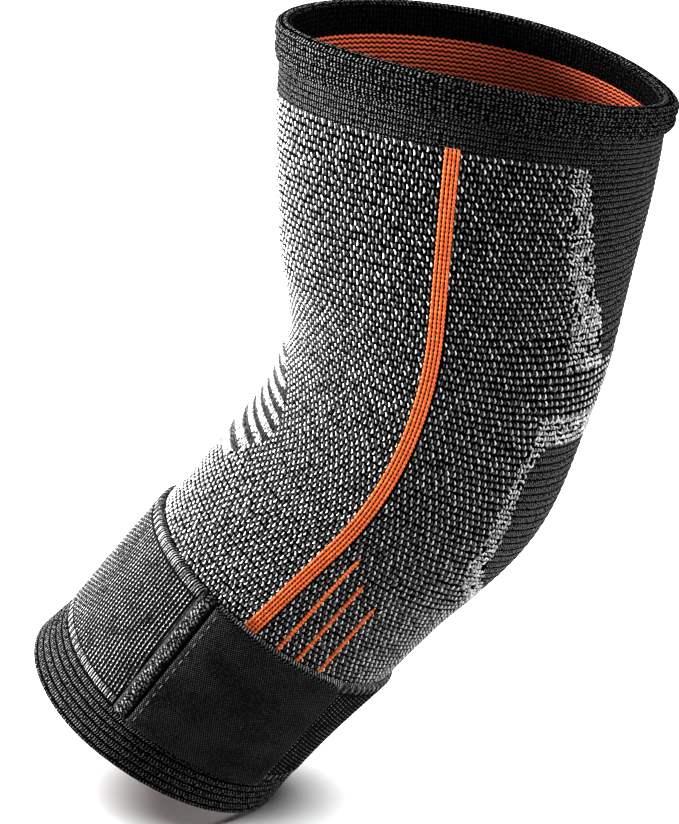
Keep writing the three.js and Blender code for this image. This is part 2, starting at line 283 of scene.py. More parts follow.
def welt_share(distance, degrees):
    """How far up a welt a place is, from 0 to 1, and how much of the welts reaches its angle."""
    inside = (distance > WELT_LOW) & (distance < WELT_HIGH)
    wave = np.sin(np.pi * (distance - WELT_LOW) / WELT_PITCH) ** 2
    place = (distance - WELT_MIDDLE) / (WELT_HIGH - WELT_MIDDLE)
    reach = WELT_REACH_DEGREES * (1 - WELT_TAPER * place**2)
    from_crook = np.abs(180 - np.abs(np.mod(degrees, 360)))
    fade = np.clip(1 - (from_crook / reach) ** 2, 0, 1)
    return np.where(inside, wave, 0), np.where(inside, fade, 0)


def surface(distance, degrees, out):
    """Points at distances along the sleeve, angles round it and heights above its outer face."""
    distance, degrees, out = np.broadcast_arrays(distance, degrees, out)
    s = section(distance)
    turn = np.radians(degrees)
    cosine, sine = np.cos(turn), np.sin(turn)
    climb = HALF_WIDTH * (s["tilt"] * cosine - s["front"] * sine + s["saddle"] * (2 * sine**2 - 1))
    x, z, direction = centre_line(distance + climb)
    wave, fade = welt_share(distance, degrees)
    grown = np.where(out < 0, out, out + WELT_HEIGHT * wave * fade)
    across = (HALF_WIDTH * np.where(cosine < 0, s["inner"], s["outer"]) + grown) * cosine
    narrowing = 1 + np.where(cosine < 0, 0, s["point"])
    forward = (HALF_DEPTH * s["depth"] + grown) * np.sign(sine) * np.abs(sine) ** narrowing
    return np.stack([x + across * np.cos(direction), forward, z - across * np.sin(direction)], -1)


def wale_table():
    """Angles, and the wale at each, with the wales evenly spread round an oval."""
    degrees = np.linspace(-180, 180, 721)
    turn = np.radians(degrees)
    speed = np.hypot(WALE_OVAL * np.sin(turn), np.cos(turn))
    walked = np.concatenate([[0], np.cumsum((speed[1:] + speed[:-1]) / 2)])
    return degrees, walked / walked[-1] * WALES


WALE_DEGREES, WALE_AT = wale_table()


def degrees_of(wale):
    """The angle of a wale, a whole number or not."""
    turns = np.floor(wale / WALES)
    return np.interp(wale - turns * WALES, WALE_AT, WALE_DEGREES) + 360 * turns


def column_angles(columns):
    """Angles of so many columns of points round the sleeve, spread like its wales."""
    return degrees_of(np.arange(columns) * WALES / columns)


def local_scale(distance, degrees):
    """Metres of surface per degree, and per metre of distance, at places on the sleeve."""
    turn, step = 0.5, 0.5 * MM
    across = surface(distance, degrees + turn, 0) - surface(distance, degrees - turn, 0)
    along = surface(distance + step, degrees, 0) - surface(distance - step, degrees, 0)
    return (
        np.linalg.norm(across, axis=-1) / (2 * turn),
        np.linalg.norm(along, axis=-1) / (2 * step),
    )


def angle_after(degrees, metres):
    """The angle so many metres further round the strap's middle."""
    middle = (STRAP_LOW + STRAP_HIGH) / 2
    step = math.copysign(0.25, metres)
    angle, walked = degrees, 0
    while walked < abs(metres):
        here, there = surface(middle, np.array([angle, angle + step]), BAND_OUT)
        walked += np.linalg.norm(there - here)
        angle += step
    return angle


def strap_skew(distance):
    """How far the strap has turned, in degrees, at a distance: it lies a little askew."""
    return STRAP_SKEW_DEGREES * ((distance - STRAP_LOW) / STRAP_WIDTH - 0.5)


FOLD_START = STRAP_END_DEGREES
FOLD_STOP = angle_after(FOLD_START, FOLD_WIDTH)
TAB_START = angle_after(FOLD_STOP, GAP)
TAB_STOP = angle_after(TAB_START, TAB_LENGTH)
BAND_STOP = angle_after(FOLD_START, -GAP) + 360


def panel_edges(distance, degrees):
    """How far inside the ribbed panels, and inside the light bands, places are, in degrees."""
    from_elbow = np.abs(np.mod(degrees + 180, 360) - 180)
    rib = np.full(np.shape(from_elbow), OUTSIDE_PANELS)
    band = np.full(np.shape(from_elbow), OUTSIDE_PANELS)
    for panel in (UPPER_PANEL, LOWER_PANEL):
        rows = panel[:, 0] * MM
        here = (distance >= rows[0]) & (distance <= rows[-1])
        rib = np.where(here, np.interp(distance, rows, panel[:, 1]) - from_elbow, rib)
        band = np.where(here, np.interp(distance, rows, panel[:, 2]) - from_elbow, band)
    cross = (distance > CROSS_BAND[0]) & (distance < CROSS_BAND[1])
    return rib, np.where(cross, CROSS_BAND_DEGREES - from_elbow, band)


def in_orange(distance, degrees, room):
    """Whether places lie on an orange line, or within so many metres of it."""
    per_degree, _ = local_scale(distance, degrees)
    on = np.zeros(len(distance), bool)
    for line in (ORANGE_BAND, *ORANGE_LINES):
        half = ORANGE_BAND_CORDS * ORANGE_CORD_PITCH / 2 if line is ORANGE_BAND else ORANGE_CORD_RADIUS
        ends, turns = (line["low"], line["high"]), (line["low_degrees"], line["high_degrees"])
        away = np.abs(degrees - np.interp(distance, ends, turns)) * per_degree
        on |= (away < half + room) & (distance < line["high"])
    return on


def placed(name, data):
    """A new object in the scene."""
    made = bpy.data.objects.new(name, data)
    bpy.context.scene.collection.objects.link(made)
    return made


def new_piece(name, points, faces, materials, replaces=(), slot=None):
    """A smooth mesh object that rides on the part. faces is a list of arrays of corner numbers."""
    mesh = bpy.data.meshes.new(name)
    corners = np.concatenate([f.ravel() for f in faces])
    sizes = np.concatenate([np.full(len(f), f.shape[1]) for f in faces])
    mesh.vertices.add(len(points))
    mesh.vertices.foreach_set("co", np.asarray(points, np.float32).ravel())
    mesh.loops.add(len(corners))
    mesh.loops.foreach_set("vertex_index", corners.astype(np.int32))
    mesh.polygons.add(len(sizes))
    starts = np.concatenate([[0], np.cumsum(sizes)[:-1]])
    mesh.polygons.foreach_set("loop_start", starts.astype(np.int32))
    mesh.update(calc_edges=True)
    mesh.polygons.foreach_set("use_smooth", np.ones(len(sizes), bool))
    for material in materials:
        mesh.materials.append(material)
    piece = placed(name, mesh)
    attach(piece, "root")
    if replaces:
        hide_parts(*replaces)
    return piece


def line_inside(piece, faces):
    """Give faces, True in a list, the piece's second material."""
    piece.data.polygons.foreach_set("material_index", faces.astype(np.int32))


def add_map(piece, name, corner_values):
    """A UV map from two values for each corner of each face."""
    layer = piece.data.uv_layers.new(name=name, do_init=False)
    layer.uv.foreach_set("vector", np.asarray(corner_values, np.float32).ravel())


def add_values(piece, name, values):
    """A number for each point, which materials read by its name."""
    attribute = piece.data.attributes.new(name, "FLOAT", "POINT")
    attribute.data.foreach_set("value", np.asarray(values, np.float32).ravel())


def swept_ring(name, distance, out, columns, materials, **facts):
    """A closed outline swept round the sleeve. distance is by row; out by column and row."""
    rows = len(distance)
    degrees = column_angles(columns)
    out = np.broadcast_to(out, (columns, rows))
    points = surface(distance[None, :], degrees[:, None], out).reshape(-1, 3)
    column, row = pairs(np.arange(columns), np.arange(rows))
    here, beside = column * rows, (column + 1) % columns * rows
    after = (row + 1) % rows
    faces = np.stack([here + row, beside + row, beside + after, here + after], -1)
    piece = new_piece(name, points, [faces], materials, **facts)
    steps = np.hypot(np.diff(distance, append=distance[:1]), np.diff(out[0], append=out[0, :1]))
    walked = np.concatenate([[0], np.cumsum(steps)])
    across = np.stack([column, column + 1, column + 1, column], -1) / columns
    along = np.stack([walked[row], walked[row], walked[row + 1], walked[row + 1]], -1)
    add_map(piece, "knit", np.stack([across * WALES, along / COURSE_PITCH], -1))
    add_map(piece, "OFBake", np.stack([across, along / walked[-1]], -1))
    return piece, row


def steps_between(low, high, longest):
    """Evenly spaced values from low to high, no further apart than longest."""
    count = max(1, math.ceil(abs(high - low) / longest - 1e-6))
    return np.linspace(low, high, count + 1)


class Nodes:
    """Short names for making shader nodes. A plain number or colour goes on a node's own socket."""

    def __init__(self, name):
        self.material = bpy.data.materials.new(name)
        self.material.use_nodes = True
        self.tree = self.material.node_tree
        self.shader = self.tree.nodes["Principled BSDF"]

    def feed(self, socket, value):
        """Link a node's output to a socket, or set a plain value on it."""
        if isinstance(value, bpy.types.NodeSocket):
            self.tree.links.new(value, socket)
        else:
            socket.default_value = value

    def math(self, operation, *values):
        node = self.tree.nodes.new("ShaderNodeMath")
        node.operation = operation
        for socket, value in zip(node.inputs, values):
            self.feed(socket, value)
        return node.outputs[0]

    def add(self, a, b):
        return self.math("ADD", a, b)

    def times(self, a, b):
        return self.math("MULTIPLY", a, b)

    def wave(self, value, share=1.0):
        """0 to 1 and back, once for each whole step of value times share."""
        turned = self.times(value, 2 * math.pi * share)
        return self.add(self.times(self.math("COSINE", turned), -0.5), 0.5)

    def fade(self, value, low, high):
        """0 where value is low, 1 where it is high, and smooth between them."""
        node = self.tree.nodes.new("ShaderNodeMapRange")
        node.interpolation_type = "SMOOTHSTEP"
        for name, item in (("Value", value), ("From Min", low), ("From Max", high)):
            self.feed(node.inputs[name], item)
        return node.outputs[0]

    def mix(self, share, a, b):
        node = self.tree.nodes.new("ShaderNodeMix")
        node.data_type = "RGBA"
        self.feed(node.inputs["Factor"], share)
        self.feed(node.inputs[6], a)
        self.feed(node.inputs[7], b)
        return node.outputs[2]

    def map(self, name):
        """The two values of a UV map, and both as a vector."""
        node = self.tree.nodes.new("ShaderNodeUVMap")
        node.uv_map = name
        split = self.tree.nodes.new("ShaderNodeSeparateXYZ")
        self.tree.links.new(node.outputs[0], split.inputs[0])
        return split.outputs[0], split.outputs[1], node.outputs[0]

    def value(self, name):
        node = self.tree.nodes.new("ShaderNodeAttribute")
        node.attribute_name = name
        return node.outputs["Fac"]

    def place(self):
        return self.tree.nodes.new("ShaderNodeTexCoord").outputs["Object"]

    def stretched(self, vector, scale):
        node = self.tree.nodes.new("ShaderNodeMapping")
        self.tree.links.new(vector, node.inputs["Vector"])
        node.inputs["Scale"].default_value = scale
        return node.outputs[0]

    def noise(self, vector, scale, detail):
        node = self.tree.nodes.new("ShaderNodeTexNoise")
        self.tree.links.new(vector, node.inputs["Vector"])
        node.inputs["Scale"].default_value = scale
        node.inputs["Detail"].default_value = detail
        return node.outputs["Fac"]

    def fibre(self, kind):
        return self.noise(self.place(), FIBRES[kind], FIBRE_DETAIL)

    def bump(self, height, strength, depth):
        node = self.tree.nodes.new("ShaderNodeBump")
        node.inputs["Strength"].default_value = strength
        node.inputs["Distance"].default_value = depth
        self.tree.links.new(height, node.inputs["Height"])
        self.tree.links.new(node.outputs[0], self.shader.inputs["Normal"])

    def stitches(self, across, along):
        """Height, 0 to 1, of rows of bent stitches: a row for each whole step of across."""
        place = self.add(self.math("FRACT", across), -0.5)
        from_middle = self.times(self.math("ABSOLUTE", place), 2)
        bent = self.wave(self.add(along, self.times(from_middle, STITCH_LEAN)))
        return self.times(bent, self.fade(from_middle, 1.0, 0.55))

    def finish(self, colour, roughness, sheen=0.0, specular=0.03, sheen_roughness=0.3):
        """Put the values on the shader and give the finished material."""
        self.feed(self.shader.inputs["Base Color"], colour)
        self.feed(self.shader.inputs["Roughness"], roughness)
        self.feed(self.shader.inputs["Sheen Weight"], sheen)
        self.shader.inputs["Sheen Roughness"].default_value = sheen_roughness
        self.feed(self.shader.inputs["Specular IOR Level"], specular)
        return self.material


# Yarns: colours, or the darkest and lightest shade of one, and how they shine
HOLE = (0.0012, 0.0012, 0.0013, 1)
GREY_YARN = (0.004, 0.004, 0.0042, 1)
RIB_YARN = (0.17, 0.17, 0.173, 1)
# The hem's own yarn, painted near black and given less sheen, as painted shade on the band inside the
# hem
HEM_INSIDE_SHADED_YARN = (0.008, 0.008, 0.008, 1)
WEBBING_YARN = (0.72, 0.72, 0.72, 1)
FOLD_YARN = (0.4, 0.4, 0.4, 1)
TAB_YARN = ((0.001, 0.001, 0.001, 1), (0.15, 0.15, 0.153, 1))
WHITE_STITCHES = ((0.3, 0.3, 0.3, 1), (0.84, 0.84, 0.84, 1))
BLACK_STITCHES = ((0.002, 0.002, 0.002, 1), (0.013, 0.013, 0.014, 1))
ORANGE_STITCHES = ((0.5, 0.07, 0.02, 1), (0.98, 0.27, 0.09, 1))
SEAM_THREAD = ((0.04, 0.04, 0.04, 1), (0.16, 0.16, 0.16, 1))
LINING_YARN = ((0.7, 0.1, 0.045, 1), (0.95, 0.32, 0.18, 1))
LINING_HOLE = (0.03, 0.004, 0.002, 1)
YARN_ROUGHNESS = 0.5
YARN_SPECULAR = 0.4
YARN_SHEEN = 0.7
BLACK_SPECULAR = 0.45
BLACK_SHEEN = 0.15
RIB_ROUGHNESS = 0.75
RIB_SPECULAR = 0.1
RIB_SHEEN = 0.4
HEM_INSIDE_SHADED_SHEEN = 0.1
LINING_ROUGHNESS = 0.75
WEBBING_ROUGHNESS = 0.8
TAB_ROUGHNESS = 0.62

# How fine the fibres of each knit or cloth are, in grains of noise a metre
FIBRES = {"ground": 2600, "lining": 2400, "stitch": 2300, "rib": 2400, "webbing": 2400,
          "fold": 2600, "tab": 2200}
FIBRE_DETAIL = 3
STITCH_LEAN = 0.45
LOOPS_EACH_WALE = {"ground": 2.5, "rib": 2.0}


def sleeve_material():
    """Black ground knit, with finely dotted ribs in the panels and under the hem."""
    n = Nodes("sleeve_knit")
    wale, _, both = n.map("knit")
    braid = n.stitches(n.value("rib_phase"), n.times(wale, LOOPS_EACH_WALE["ground"]))
    dots = n.noise(n.stretched(both, (2.6, 5.0, 1)), 1.0, 1)
    crest = n.times(braid, n.fade(dots, 0.36, 0.6))
    in_panel = n.fade(n.value("rib_edge"), -0.5, 0.5)
    relief = n.times(crest, in_panel)
    n.bump(n.add(n.times(relief, 0.7), n.times(n.fibre("ground"), 0.3)), 1.0, 0.35 * MM)
    shine = n.fade(relief, 0.15, 0.6)
    return n.finish(n.mix(relief, HOLE, GREY_YARN), YARN_ROUGHNESS,
                    n.times(shine, YARN_SHEEN), n.times(shine, YARN_SPECULAR), 0.4)


def lining_material():
    """Orange courses like wavy ropes, black between them."""
    n = Nodes("orange_lining")
    wale, course, _ = n.map("knit")
    sway = n.times(n.math("SINE", n.times(wale, 2 * math.pi * 1.3)), 0.13)
    rope = n.wave(n.add(n.times(course, COURSE_PITCH / LINING_PITCH), sway))
    fibre = n.fibre("lining")
    shade = n.mix(n.fade(fibre, 0.35, 0.7), *LINING_YARN)
    n.bump(n.add(rope, n.times(fibre, 0.25)), 0.9, 0.4 * MM)
    colour = n.mix(n.fade(rope, 0.2, 0.6), LINING_HOLE, shade)
    return n.finish(colour, LINING_ROUGHNESS, sheen=0.1)


def stitch_material(name, shades, sheen=0.1, specular=0.1):
    """Yarn of one colour, uneven from stitch to stitch and along its fibres."""
    n = Nodes(name)
    fibre = n.fibre("stitch")
    share = n.add(n.times(n.value("tone"), 0.45), n.times(fibre, 0.8))
    n.bump(fibre, 0.8, 0.2 * MM)
    return n.finish(n.mix(n.fade(share, 0.3, 0.85), *shades), YARN_ROUGHNESS, sheen, specular, 0.35)


def ribbed_material(name, yarn, specks_along, sheen):
    """Black knit in ribs, each rib a row of small bent loops."""
    n = Nodes(name)
    wale, _, both = n.map("knit")
    braid = n.stitches(n.value("rib_phase"), n.times(wale, LOOPS_EACH_WALE["rib"]))
    speck = n.noise(n.stretched(both, (2.0, specks_along, 1)), 1.0, 1)
    lit = n.times(n.fade(braid, 0.35, 0.8), n.fade(speck, 0.42, 0.62))
    n.bump(n.add(n.times(braid, 0.7), n.times(n.fibre("rib"), 0.3)), 1.0, 0.4 * MM)
    shine = n.fade(lit, 0.1, 0.6)
    return n.finish(n.mix(lit, HOLE, yarn), RIB_ROUGHNESS,
                    n.times(shine, sheen), n.times(shine, RIB_SPECULAR), 0.4)


def elastic_material():
    """Elastic webbing: cross ribs, by turns a fine light line and a row of dots; barred edges."""
    n = Nodes("strap_elastic")
    round_it, over, _ = n.map("strap")
    edge = n.value("from_edge")
    rib_place = n.times(round_it, 1 / STRAP_RIB_PITCH)
    every_other = n.wave(rib_place, 0.5)
    ribs = n.wave(rib_place)
    staggered = n.times(n.math("FLOOR", rib_place), 0.5)
    dots = n.wave(n.add(n.times(over, 1 / STRAP_DOT_PITCH), staggered))
    fibre = n.fibre("webbing")
    worn = n.noise(n.place(), 160, 2)

    # The light lines start only past the stretch beside the tab, which is painted shade
    lined_past_shade = n.times(n.fade(every_other, 0.45, 0.55), n.fade(round_it, *LINES_PAST_PAINTED_SHADE))
    line = n.times(n.times(n.fade(ribs, 0.75, 0.97), lined_past_shade), n.fade(fibre, 0.3, 0.6))
    dotted = n.times(n.fade(ribs, 0.55, 0.9), n.fade(dots, 0.55, 0.9))
    middle = n.math("MAXIMUM", n.times(line, 0.6), n.times(dotted, n.fade(every_other, 0.75, 0.45)))
    at_edge = n.fade(edge, SELVEDGE, SELVEDGE - 0.5 * MM)
    bars = n.times(n.fade(n.wave(rib_place, 1.5), 0.5, 0.85), at_edge)
    in_middle = n.fade(edge, SELVEDGE + 0.4 * MM, SELVEDGE + 0.9 * MM)
    lit = n.add(n.times(middle, in_middle), n.times(bars, 0.7))
    lit = n.times(lit, n.fade(n.add(fibre, n.times(worn, 0.4)), 0.5, 0.85))
    n.bump(n.add(n.times(lit, 0.8), n.times(fibre, 0.3)), 0.9, 0.3 * MM)
    return n.finish(n.mix(lit, HOLE, WEBBING_YARN), WEBBING_ROUGHNESS, n.times(lit, 0.1))


def fold_material():
    """The webbing's folded end: black, with light specks along its crest and a few on its side."""
    n = Nodes("fold_elastic")
    across, along, _ = n.map("strap")
    specks = n.noise(n.place(), 1500, 2)
    slant = n.wave(n.times(n.add(along, n.times(across, 0.7)), 1 / STRAP_DOT_PITCH))
    crest = n.times(n.fade(across, 0.9 * MM, 2.0 * MM), n.fade(across, 5.6 * MM, 4.4 * MM))
    speckled = n.times(n.times(n.fade(specks, 0.47, 0.6), n.fade(slant, 0.1, 0.5)), crest)
    # Lighter fibres in a strip along the fold's left edge
    edge_strip = n.times(n.fade(n.fibre("fold"), 0.45, 0.6), n.fade(across, 1.6 * MM, 0.6 * MM))
    lit = n.add(n.times(edge_strip, 0.12), n.times(speckled, 0.7))
    n.bump(n.add(n.times(slant, 0.2), specks), 1.0, 0.3 * MM)
    return n.finish(n.mix(lit, HOLE, FOLD_YARN), WEBBING_ROUGHNESS, n.times(lit, 0.2))


def tab_material():
    """Smooth black cloth with a fine twill of small lighter dots."""
    n = Nodes("tab_cloth")
    across, along, _ = n.map("strap")
    a = n.times(across, 1 / TWILL_PITCH)
    b = n.times(along, 1 / TWILL_PITCH)
    weave = n.times(n.wave(n.add(a, n.times(b, 0.5))), n.wave(n.add(b, n.times(a, -0.5))))
    fibre = n.fibre("tab")
    worn = n.noise(n.place(), 90, 2)
    lit = n.times(n.fade(weave, 0.25, 0.8), n.fade(n.add(fibre, n.times(worn, 0.5)), 0.5, 0.95))
    n.bump(n.add(n.times(weave, 0.7), n.times(fibre, 0.4)), 0.6, 0.12 * MM)
    return n.finish(n.mix(lit, *TAB_YARN), TAB_ROUGHNESS, n.times(lit, 0.4))


def sleeve():
    """The knitted tube: its outer face with ribs and welts, and its orange inner face."""
    below_header = np.arange(HEADER_LOW, STRAP_HIGH - 2 * MM, -RIB_PITCH / 4)[::-1]
    hidden = steps_between(SLEEVE_LOW, below_header[0], ROWS_UNDER_STRAP)[:-1]
    header_rows = np.arange(HEADER_LOW, HEM_LOW + 1 * MM, HEADER_RIB_PITCH / 4)[1:]
    outside = np.concatenate([hidden, below_header, header_rows, [SLEEVE_HIGH]])
    inside = steps_between(SLEEVE_HIGH, SLEEVE_LOW, ROWS_INSIDE)
    distance = np.concatenate([outside, inside])
    degrees = column_angles(WALES)
    rib, _ = panel_edges(distance[None, :], degrees[:, None])
    above = distance - HEADER_LOW
    rib = np.maximum(rib, above[None, :] / (1 * MM))
    phase = above / np.where(above > 0, HEADER_RIB_PITCH, RIB_PITCH)
    ribbed = np.clip(rib + 0.5, 0, 1) * ripple(phase[None, :])
    out = RIB_HEIGHT * (ribbed - 0.5 * (rib > 0))
    outer = np.arange(len(distance)) < len(outside)
    out = np.where(outer[None, :], np.maximum(out, 0), -KNIT_WALL)
    out[:, : len(hidden)] = 0
    piece, row = swept_ring(
        "sleeve_body_knit", distance, out, WALES, [sleeve_material(), lining_material()],
        replaces=["sleeve_body"], slot="sleeve_knit",
    )
    line_inside(piece, row >= len(outside) - 1)
    add_values(piece, "rib_edge", rib)
    add_values(piece, "rib_phase", np.broadcast_to(phase[None, :], rib.shape))


def grain_template():
    """Points of one grain, across, along and up, and its triangles."""
    turn = turns_of(GRAIN_SIDES)
    rings = [
        np.stack([share * np.cos(turn), share * np.sin(turn), np.full(GRAIN_SIDES, up)], -1)
        for share, up in GRAIN_RINGS
    ]
    points = np.concatenate([*rings, [[0, 0, 1.0]]])
    faces = []
    apex = 2 * GRAIN_SIDES
    for low in range(GRAIN_SIDES):
        high, after = low + GRAIN_SIDES, (low + 1) % GRAIN_SIDES
        above = after + GRAIN_SIDES
        faces += [(low, after, above), (low, above, high), (high, above, apex)]
    faces += [(0, side + 1, side) for side in range(1, GRAIN_SIDES - 1)]
    bend = GRAIN["bend"] * (0.5 - np.abs(points[:, 1] - GRAIN["tip"]) ** 1.3)
    shaped = np.stack([
        points[:, 0] * GRAIN["half_width"] + bend,
        points[:, 1] * GRAIN["half_length"],
        points[:, 2] * (GRAIN["height"] + GRAIN["sink"]) - GRAIN["sink"],
    ], -1)
    return shaped, np.array(faces)


def grains(name, distance, degrees, material, size, turn_spread):
    """One mesh of grains at places on the sleeve, each a little different."""
    template, faces = grain_template()
    count = len(distance)
    per_degree, per_metre = local_scale(distance, degrees)
    scale = size * draws.normal(1, GRAIN_SPREAD["size"], (count, 1))
    turn = np.radians(draws.normal(GRAIN_TURN, turn_spread, (count, 1)))
    flat = template[None, :, :2] * scale[..., None]
    across = flat[..., 0] * np.cos(turn) - flat[..., 1] * np.sin(turn)
    along = flat[..., 0] * np.sin(turn) + flat[..., 1] * np.cos(turn)
    across = across + draws.normal(0, GRAIN_SPREAD["across"], (count, 1))
    along = along + draws.normal(0, GRAIN_SPREAD["along"], (count, 1))
    fit = np.minimum(per_metre, GRAIN_LONGEST)[:, None]
    where = surface(
        distance[:, None] + along * fit / per_metre[:, None],
        degrees[:, None] + across / per_degree[:, None],
        np.broadcast_to(template[None, :, 2], across.shape),
    )
    tone = np.repeat(draws.random(count), len(template))
    first = np.arange(count)[:, None, None] * len(template)
    numbers = (faces[None] + first).reshape(-1, 3)
    piece = new_piece(name, where.reshape(-1, 3), [numbers], [material], slot="sleeve_knit")
    add_values(piece, "tone", tone)
    turned = degrees[:, None] + across / per_degree[:, None]
    # The chart is two turns wide
    chart = np.stack([(turned + 360) / 720, (distance[:, None] + along) / LENGTH], -1)
    add_map(piece, "OFBake", chart.reshape(-1, 2)[numbers.ravel()])


def knit_places(courses):
    """Distances and angles of two stitches for each wale, at courses given by distance."""
    column, distance = pairs(np.arange(2 * WALES), courses)
    return distance, degrees_of((column + 0.5) / 2)


def heather(white, black):
    """White and black stitches by turns, like the squares of a chessboard."""
    column, course = pairs(np.arange(2 * WALES), np.arange(int(LENGTH / COURSE_PITCH)))
    distance = (course + 0.5) * COURSE_PITCH
    degrees = degrees_of((column + 0.5) / 2)
    rib, band = panel_edges(distance, degrees)
    _, reach = welt_share(distance, degrees)
    free = (distance > STRAP_HIGH - UNDER_STRAP) & (distance < HEADER_LOW + UNDER_HEADER)
    free &= (reach < CROOK_EDGE) & (rib < -PANEL_MARGIN_DEGREES) & (band < 0)
    free &= ~in_orange(distance, degrees, ORANGE_ROOM)
    light = (column + course) % 2 == 0
    for side, here in (("front", degrees < 0), ("back", degrees >= 0)):
        chosen = free & here & light
        grains(f"heather_stitches_{side}", distance[chosen], degrees[chosen], white, **WHITE_STITCH)
        chosen = free & here & ~light
        grains(f"black_stitches_{side}", distance[chosen], degrees[chosen], black, **BLACK_STITCH)


def light_bands(white):
    """All-white stitches, closer together, that frame the ribbed panels."""
    distance, degrees = knit_places(np.arange(STRAP_HIGH, HEADER_LOW, BAND_COURSE_PITCH))
    rib, band = panel_edges(distance, degrees)
    chosen = (band >= 0) & (rib < -PANEL_MARGIN_DEGREES)
    chosen &= draws.random(len(distance)) < BAND_FULLNESS
    grains("band_stitches", distance[chosen], degrees[chosen], white, **BAND_STITCH)


def striped_crook(white, black):
    """White stitches on the welts of the crook, and black ones between them."""
    distance, degrees = knit_places(np.arange(WELT_LOW, WELT_HIGH, CROOK_COURSE_PITCH))
    wave, reach = welt_share(distance, degrees)
    on_welt = wave > draws.normal(0.5, CROOK_RAGGED, len(distance))
    for shade, material, place in (("light", white, on_welt), ("dark", black, ~on_welt)):
        chosen = place & (reach >= CROOK_EDGE)
        name = f"crook_stitches_{shade}"
        grains(name, distance[chosen], degrees[chosen], material, **CROOK_STITCH)


def raised_stitches():
    """All the stitches that stand out of the sleeve's ground knit."""
    white = stitch_material("white_stitches", WHITE_STITCHES)
    black = stitch_material("black_stitches", BLACK_STITCHES, BLACK_SHEEN, BLACK_SPECULAR)
    heather(white, black)
    light_bands(white)
    striped_crook(white, black)


def yarn_tubes(name, tubes, material, slot):
    """One mesh of many closed tubes, each a grid of points by row and side."""
    quads, ends, first = [], [], 0
    for tube in tubes:
        rows, sides = tube.shape[:2]
        row, side = pairs(np.arange(rows - 1) * sides, np.arange(sides))
        after = (side + 1) % sides
        quads.append(first + np.stack([row + side, row + sides + side,
                                       row + sides + after, row + after], -1))
        ring = np.arange(sides)
        ends.append(first + np.stack([ring, (rows - 1) * sides + ring[::-1]]))
        first += rows * sides
    points = np.concatenate([tube.reshape(-1, 3) for tube in tubes])
    faces = [np.concatenate(quads), np.concatenate(ends)]
    piece = new_piece(name, points, faces, [material], slot=slot)
    add_values(piece, "tone", draws.random(len(points)))


def cord_along(distance, degrees, radius):
    """A round cord that lies on the sleeve, with a bead at each stitch, by row and side."""
    turn = turns_of(ORANGE_CORD["sides"])
    per_degree, _ = local_scale(distance, degrees)
    bead = 1 + ORANGE_CORD["bead"] * np.cos(2 * np.pi * distance / ORANGE_STITCH)
    thick = (radius * bead)[:, None]
    across = thick * np.cos(turn)[None, :] / per_degree[:, None]
    up = thick * np.sin(turn)[None, :] * ORANGE_CORD["flatness"] + ORANGE_CORD["lift"]
    return surface(distance[:, None], degrees[:, None] + across, up)


def cord_run(offset, low, high, low_degrees, high_degrees):
    """Distances and angles of a cord between two places, set off sideways by some metres."""
    distance = steps_between(low, high, ORANGE_STITCH / 4)
    per_degree, _ = local_scale(distance, np.full(len(distance), low_degrees))
    return distance, np.linspace(low_degrees, high_degrees, len(distance)) + offset / per_degree


def orange_cords():
    """The orange wales: a band of cords up the front, and three short tapering lines."""
    tubes = []
    for cord in range(ORANGE_BAND_CORDS):
        offset = (cord - (ORANGE_BAND_CORDS - 1) / 2) * ORANGE_CORD_PITCH
        distance, degrees = cord_run(offset, **ORANGE_BAND)
        tubes.append(cord_along(distance, degrees, ORANGE_CORD_RADIUS))
    for line in ORANGE_LINES:
        distance, degrees = cord_run(0, **line)
        taper = np.clip((line["high"] - distance) / LINE_TAPER, LINE_TIP, 1)
        tubes.append(cord_along(distance, degrees, LINE_THICKER * ORANGE_CORD_RADIUS * taper))
    orange = stitch_material("orange_stitches", ORANGE_STITCHES)
    yarn_tubes("orange_wales", tubes, orange, "sleeve_knit")


def hem_thickness(degrees):
    """How thick the hem is at an angle: fuller on the elbow's side."""
    return HEM_WALL + HEM_FULLNESS * (1 + np.cos(np.radians(degrees))) / 2


# Outer face of the hem, as in the solids: share of its height down, share of its thickness out
HEM_BEADS = np.array([
    (0.00, 0.30), (0.06, 1.00), (0.25, 1.35), (0.44, 1.20),
    (0.53, 0.95), (0.62, 1.20), (0.78, 1.15), (1.00, 0.50),
])


